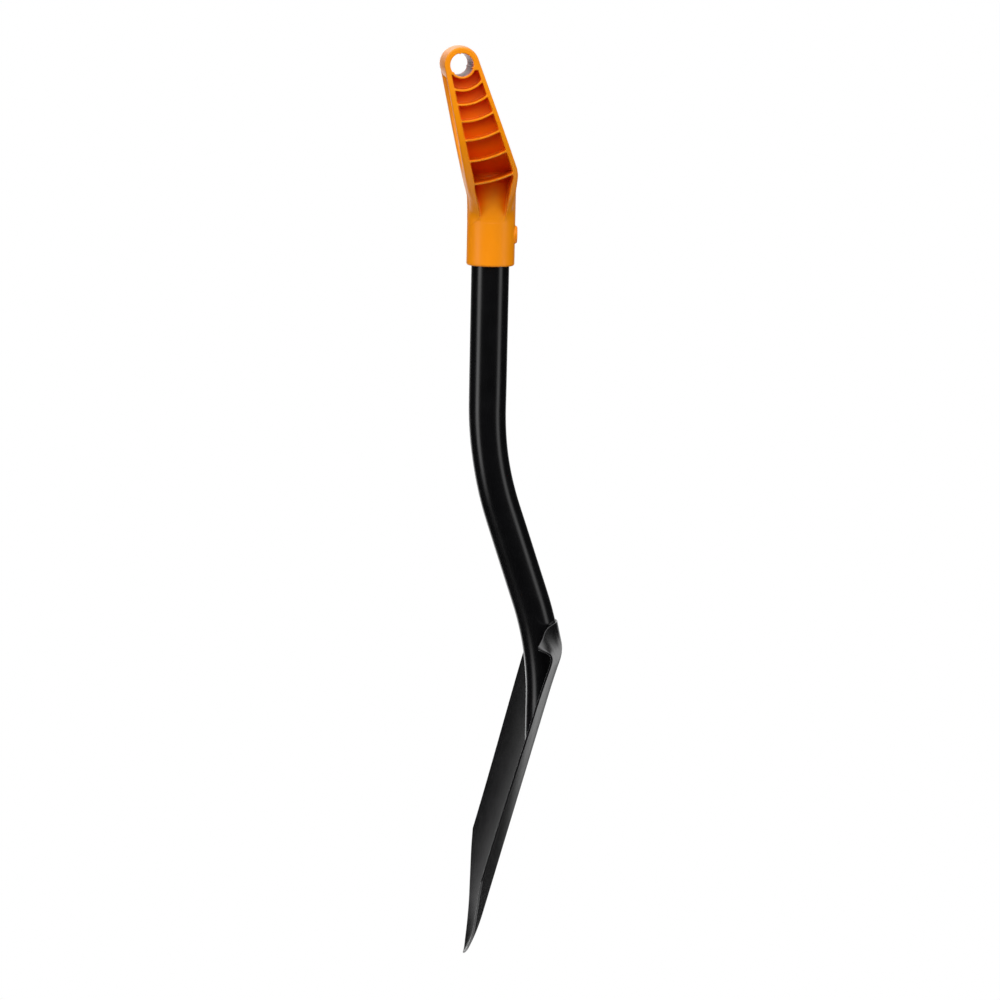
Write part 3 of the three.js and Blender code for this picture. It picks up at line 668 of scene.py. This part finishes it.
def build_top_weld(name, node, side, material):
    """A short weld where the sheet's top edge hugs one side of the tube."""
    angle = side * np.radians(np.linspace(124, 152, 30))
    height = np.full(len(angle), TREAD_TOP_Z - 4.0)
    corner = tube_point(height, angle, TUBE_RADIUS)
    along_sheet = np.stack([np.sin(angle), -np.cos(angle), 0 * angle], axis=1)
    along_tube = np.tile([0.0, -0.2, 1.0], (len(angle), 1))
    verts, faces = bead_mesh(corner, unit(along_sheet), unit(along_tube), 2.0)
    if side < 0:
        faces = [face[::-1] for face in faces]
    return new_piece(name, verts, faces, material, node)


def build_screw(material):
    """A pan-head screw with a six-lobe drive, lying along Y in the socket's boss."""
    around = 72
    angle = np.linspace(0, 2 * math.pi, around, endpoint=False)
    lobes = 1.75 + 0.35 * np.cos(6 * angle)
    top = BOSS_FACE - 1.1
    seat = top - 2.4
    tip = seat - 12
    rings = [(0.05, tip), (1.2, tip), (2.0, tip + 1.4)]
    threads = np.linspace(tip + 1.4, seat - 0.6, 40)
    rings += [(2.0 + 0.2 * (i % 2), y) for i, y in enumerate(threads)]
    rings += [(2.2, seat - 0.3), (2.3, seat), (4.05, seat), (4.2, seat + 0.15), (4.2, seat + 1.0)]
    rings += [(4.2 - 1.5 * t * t, seat + 1.0 + 1.4 * math.sin(t * math.pi / 2)) for t in (0.25, 0.5, 0.75, 1.0)]
    loops = [np.full(around, radius) for radius, _ in rings] + [lobes + 0.12, lobes, lobes * 0.97, lobes * 0.05]
    heights = [y for _, y in rings] + [top, top - 0.12, top - 1.5, top - 1.7]
    verts = [(r * math.sin(a), y, SCREW_Z + r * math.cos(a)) for loop, y in zip(loops, heights)
             for r, a in zip(loop, angle)]
    faces = [face[::-1] for face in grid_faces(len(loops), around, closed=True)]
    faces.append(tuple(range(around)))
    faces.append(tuple(len(verts) - around + i for i in range(around))[::-1])
    return new_piece("fixing_screw", verts, faces, material, "handle_screw")


def build_handle(material):
    step = np.array([1.5, 0.86, 0.86])
    points, quads, normals = surface_of(handle_distance, HANDLE_LOW, HANDLE_HIGH, step)
    return new_piece("handle", points, quads, material, "d_handle", normals)


# ---- Materials ----------------------------------------------------------------------------------

def principled(name, color, roughness, metallic=0.0):
    material = bpy.data.materials.new(name)
    material.use_nodes = True
    shader = material.node_tree.nodes["Principled BSDF"]
    shader.inputs["Base Color"].default_value = (*color, 1)
    shader.inputs["Roughness"].default_value = roughness
    shader.inputs["Metallic"].default_value = metallic
    return material, shader


def noise(material, scale, detail=2.0, roughness=0.5):
    """A noise over the object's own coordinates; scale is in features per metre."""
    nodes, links = material.node_tree.nodes, material.node_tree.links
    place = nodes.get("Texture Coordinate") or nodes.new("ShaderNodeTexCoord")
    texture = nodes.new("ShaderNodeTexNoise")
    texture.inputs["Scale"].default_value = scale
    texture.inputs["Detail"].default_value = detail
    texture.inputs["Roughness"].default_value = roughness
    links.new(place.outputs["Object"], texture.inputs["Vector"])
    return texture.outputs["Fac"]


def ramp(material, value, stops):
    """Maps a value through colour stops."""
    node = material.node_tree.nodes.new("ShaderNodeValToRGB")
    for element, (position, color) in zip(node.color_ramp.elements, (stops[0], stops[-1])):
        element.position, element.color = position, color
    for position, color in stops[1:-1]:
        node.color_ramp.elements.new(position).color = color
    material.node_tree.links.new(value, node.inputs["Fac"])
    return node.outputs["Color"]


def grey(value):
    return (value, value, value, 1)


def bump(material, shader, heights):
    """Bumps in a chain, each a (height output, distance in mm, strength)."""
    before = None
    for height, distance, strength in heights:
        node = material.node_tree.nodes.new("ShaderNodeBump")
        node.inputs["Distance"].default_value = distance * MM
        node.inputs["Strength"].default_value = strength
        material.node_tree.links.new(height, node.inputs["Height"])
        if before is not None:
            material.node_tree.links.new(before, node.inputs["Normal"])
        before = node.outputs["Normal"]
    material.node_tree.links.new(before, shader.inputs["Normal"])


def orange_plastic():
    """Satin polypropylene with painted shade that turns it redder and darker in its recesses, and a fine
    moulded grain.
    """
    material, shader = principled("orange_polypropylene", (0.97, 0.29, 0.001), 0.3)
    shader.inputs["Specular IOR Level"].default_value = 0.27
    nodes, links = material.node_tree.nodes, material.node_tree.links
    flow = ramp(material, noise(material, 18, 3), [
        (0.3, (0.96, 0.285, 0.0006, 1)), (0.7, (0.985, 0.31, 0.001, 1)),
    ])
    # Painted shade: ambient occlusion multiplies the base colour, making it redder and darker where the surface
    # is recessed.
    recess = nodes.new("ShaderNodeAmbientOcclusion")
    recess.samples = 8
    recess.inputs["Distance"].default_value = 22 * MM
    depth = ramp(material, recess.outputs["AO"], [(0.15, (0.95, 0.25, 0.0, 1)), (0.8, (1, 1, 1, 1))])
    painted_shade_tint = nodes.new("ShaderNodeMix")
    painted_shade_tint.data_type, painted_shade_tint.blend_type = "RGBA", "MULTIPLY"
    painted_shade_tint.inputs["Factor"].default_value = 0.5
    links.new(flow, painted_shade_tint.inputs["A"])
    links.new(depth, painted_shade_tint.inputs["B"])
    links.new(painted_shade_tint.outputs["Result"], shader.inputs["Base Color"])
    gloss = ramp(material, noise(material, 90, 4), [(0.3, grey(0.34)), (0.7, grey(0.41))])
    links.new(gloss, shader.inputs["Roughness"])
    bump(material, shader, [
        (noise(material, 2600, 2), 0.02, 0.2),
        (noise(material, 160, 2), 0.1, 0.06),
    ])
    return material


def black_coat(name, roughness, peel, specular=0.46):
    """Black powder coat: a fine orange peel with slightly uneven gloss."""
    material, shader = principled(name, (0.002, 0.002, 0.0023), roughness)
    shader.inputs["Specular IOR Level"].default_value = specular
    links = material.node_tree.links
    tone = ramp(material, noise(material, 45, 4), [
        (0.3, (0.0015, 0.0015, 0.0018, 1)), (0.7, (0.0025, 0.0025, 0.003, 1)),
    ])
    links.new(tone, shader.inputs["Base Color"])
    gloss = ramp(material, noise(material, 70, 5, 0.6), [
        (0.3, grey(roughness - 0.02)), (0.7, grey(roughness + 0.03)),
    ])
    links.new(gloss, shader.inputs["Roughness"])
    bump(material, shader, [
        (noise(material, 900, 2), 0.05, peel),
        (noise(material, 3500, 1), 0.02, 0.12),
    ])
    return material


def zinc():
    material, shader = principled("zinc_plate", (0.55, 0.56, 0.58), 0.35, 1.0)
    tone = ramp(material, noise(material, 700, 4), [
        (0.3, (0.45, 0.46, 0.48, 1)), (0.7, (0.62, 0.63, 0.65, 1)),
    ])
    material.node_tree.links.new(tone, shader.inputs["Base Color"])
    bump(material, shader, [(noise(material, 2500, 3), 0.03, 0.4)])
    return material


# ---- Camera, light and floor --------------------------------------------------------------------

CAMERA_AIM = Vector((0.0, 0.0433, -0.3795))
CAMERA_DISTANCE = 2.5
CAMERA_AZIMUTH = 87.0
CAMERA_ELEVATION = 9.5
CAMERA_ROLL = 1.22
CAMERA_LENS = 102.0


def towards(azimuth, elevation):
    """Unit vector from the object at an azimuth, 0 towards -Y and 90 towards +X, and an elevation."""
    a, e = math.radians(azimuth), math.radians(elevation)
    return Vector((math.sin(a) * math.cos(e), -math.cos(a) * math.cos(e), math.sin(e)))


def add_camera():
    turn = Matrix.Rotation(math.radians(CAMERA_ROLL), 3, "X")
    back = turn @ towards(CAMERA_AZIMUTH, CAMERA_ELEVATION)
    right = (turn @ Vector((0, 0, 1))).cross(back).normalized()
    data = bpy.data.cameras.new("camera")
    data.lens = CAMERA_LENS
    camera = bpy.data.objects.new("camera", data)
    place = Matrix((right, back.cross(right), back)).transposed().to_4x4()
    place.translation = CAMERA_AIM + CAMERA_DISTANCE * back
    camera.matrix_world = place
    bpy.context.scene.collection.objects.link(camera)
    bpy.context.scene.camera = camera


class WorldNodes:
    """Small arithmetic on the direction of a ray of the world."""

    def __init__(self, tree):
        self.tree = tree
        place = tree.nodes.new("ShaderNodeTexCoord")
        split = tree.nodes.new("ShaderNodeSeparateXYZ")
        tree.links.new(place.outputs["Generated"], split.inputs[0])
        self.x, self.y, self.z = split.outputs

    def math(self, operation, *values):
        node = self.tree.nodes.new("ShaderNodeMath")
        node.operation = operation
        for socket, value in zip(node.inputs, values):
            if isinstance(value, (int, float)):
                socket.default_value = value
            else:
                self.tree.links.new(value, socket)
        return node.outputs[0]

    def window(self, value, low, high, soft):
        """1 between low and high, falling smoothly to 0 outside."""
        up = self.step(value, low - soft, low + soft)
        down = self.step(value, high + soft, high - soft)
        return self.math("MULTIPLY", up, down)

    def step(self, value, start, end):
        node = self.tree.nodes.new("ShaderNodeMapRange")
        node.interpolation_type = "SMOOTHSTEP"
        flip = start > end
        node.inputs["From Min"].default_value = min(start, end)
        node.inputs["From Max"].default_value = max(start, end)
        node.inputs["To Min"].default_value = 1.0 if flip else 0.0
        node.inputs["To Max"].default_value = 0.0 if flip else 1.0
        self.tree.links.new(value, node.inputs["Value"])
        return node.outputs["Result"]

    def turned(self, azimuth):
        """Degrees round from an azimuth, from -180 to 180, positive towards larger azimuths."""
        sine, cosine = math.sin(math.radians(azimuth)), math.cos(math.radians(azimuth))
        ahead = self.weighted(sine, -cosine)
        aside = self.weighted(cosine, sine)
        return self.math("MULTIPLY", self.math("ARCTAN2", aside, ahead), 180 / math.pi)

    def weighted(self, of_x, of_y):
        return self.math("ADD", self.math("MULTIPLY", self.x, of_x), self.math("MULTIPLY", self.y, of_y))


# Soft patches of the studio: azimuth, half width, lowest and highest elevation, softness, in degrees, strength
STUDIO = [
    (CAMERA_AZIMUTH + 190, 45, 10, 50, 7, 0.9),  # white backdrop
    (CAMERA_AZIMUTH + 184, 6, -14, 10, 3, 1.9),  # its brightest part, low in the middle
    (CAMERA_AZIMUTH + 200, 18, -40, -8, 6, 1.3),  # pale ground behind, at the left
    (CAMERA_AZIMUTH + 162, 9, -18.2, -3, 1.2, 0.5),  # and at the right
    (CAMERA_AZIMUTH - 66, 10, -20, 60, 6, 2.9),  # tall box at the left
    (CAMERA_AZIMUTH + 68, 9, -50, 55, 6, 1.8),  # tall box at the right
    (CAMERA_AZIMUTH, 50, 16, 66, 9, 2.7),  # box above the camera
]
CEILING, CEILING_LOW, CEILING_HIGH = 1.0, 50, 70  # strength, and the elevations where it fades in
AMBIENT = 0.025


def add_world():
    world = bpy.data.worlds.new("studio")
    world.use_nodes = True
    tree = world.node_tree
    tree.nodes.clear()
    w = WorldNodes(tree)
    height = w.math("MULTIPLY", w.math("ARCSINE", w.z), 180 / math.pi)
    light = w.math("ADD", AMBIENT, w.math("MULTIPLY", w.step(height, CEILING_LOW, CEILING_HIGH), CEILING))
    for azimuth, half, low, high, soft, strength in STUDIO:
        across = w.window(w.turned(azimuth), -half, half, soft)
        patch = w.math("MULTIPLY", across, w.window(height, low, high, soft))
        light = w.math("ADD", light, w.math("MULTIPLY", patch, strength))
    lamps = tree.nodes.new("ShaderNodeBackground")
    tree.links.new(light, lamps.inputs["Color"])
    seen = tree.nodes.new("ShaderNodeBackground")
    seen.inputs["Color"].default_value = (1, 1, 1, 1)
    path = tree.nodes.new("ShaderNodeLightPath")
    mix = tree.nodes.new("ShaderNodeMixShader")
    tree.links.new(path.outputs["Is Camera Ray"], mix.inputs["Fac"])
    tree.links.new(lamps.outputs[0], mix.inputs[1])
    tree.links.new(seen.outputs[0], mix.inputs[2])
    out = tree.nodes.new("ShaderNodeOutputWorld")
    tree.links.new(mix.outputs[0], out.inputs["Surface"])
    bpy.context.scene.world = world


def add_floor():
    """A round pale floor, which the hanging spade doesn't reach."""
    radius, rings, around = 0.8, 6, 96
    turns = np.linspace(0, 2 * math.pi, around, endpoint=False)
    verts = [(0, 0, 0)]
    for ring in range(1, rings + 1):
        r = radius * ring / rings
        verts += [(r * math.cos(t), r * math.sin(t), 0) for t in turns]
    faces = [(0, 1 + i, 1 + (i + 1) % around) for i in range(around)]
    faces += grid_faces(rings, around, closed=True, start=1)
    mesh = bpy.data.meshes.new("floor")
    mesh.from_pydata(verts, [], faces)
    material, shader = principled("pale_floor", (0.9, 0.9, 0.9), 0.9)
    shader.inputs["Specular IOR Level"].default_value = 0.1
    mesh.materials.append(material)
    floor = bpy.data.objects.new("floor", mesh)
    floor.location = (0, CAMERA_AIM.y, FLOOR_Z)
    bpy.context.scene.collection.objects.link(floor)


# ---- Scene --------------------------------------------------------------------------------------

add_camera()
add_world()
add_floor()
bpy.context.scene.view_settings.view_transform = "Standard"

build_handle(orange_plastic())
build_screw(zinc())
build_shaft(black_coat("shaft_powder_coat", 0.22, 0.1))
build_blade(black_coat("blade_powder_coat", 0.19, 0.05))
weld_coat = black_coat("weld_powder_coat", 0.45, 0.3, 0.2)
build_weld_bead(weld_coat)
build_top_weld("top_weld_left", "weld_top_left", 1, weld_coat)
build_top_weld("top_weld_right", "weld_top_right", -1, weld_coat)
